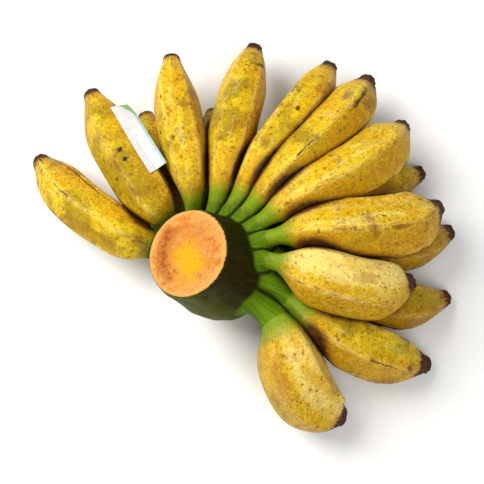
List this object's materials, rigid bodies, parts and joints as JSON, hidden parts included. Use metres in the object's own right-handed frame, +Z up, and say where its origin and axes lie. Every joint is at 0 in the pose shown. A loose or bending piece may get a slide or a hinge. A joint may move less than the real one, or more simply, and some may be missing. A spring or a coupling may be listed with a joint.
{
  "type": "banana hand",
  "caption": "Hand of short, stout bananas fanning out in two rows from a thick cut stalk, with a blank paper label on one finger.",
  "frame": {"origin": "middle of the hand's box at the level of the table that it lies on", "axes": "+Z up, with the hand lying on the tips of its lower row; +X towards the tips of the fingers that lie away from the leaning cut face; +Y towards the tips of the fingers at the far side"},
  "size_m": [0.293, 0.2688, 0.0899],
  "materials": {
    "peel": "satin, golden yellow peel with brown freckles",
    "green_stalk": "matt, dark green stalk with an ochre cut face",
    "paper": "matt, blank"
  },
  "bodies": {
    "root": {"crown_stalk": "green_stalk", "finger_01": "peel", "finger_02": "peel", "finger_03": "peel", "finger_04": "peel", "finger_05": "peel", "finger_06": "peel", "finger_07": "peel", "finger_08": "peel", "finger_09": "peel", "finger_10": "peel", "finger_11": "peel", "finger_12": "peel", "finger_13": "peel", "finger_14": "peel", "finger_15": "peel", "finger_16": "peel", "finger_17": "peel", "finger_18": "peel", "paper_label": "paper"}
  },
  "joints": []
}
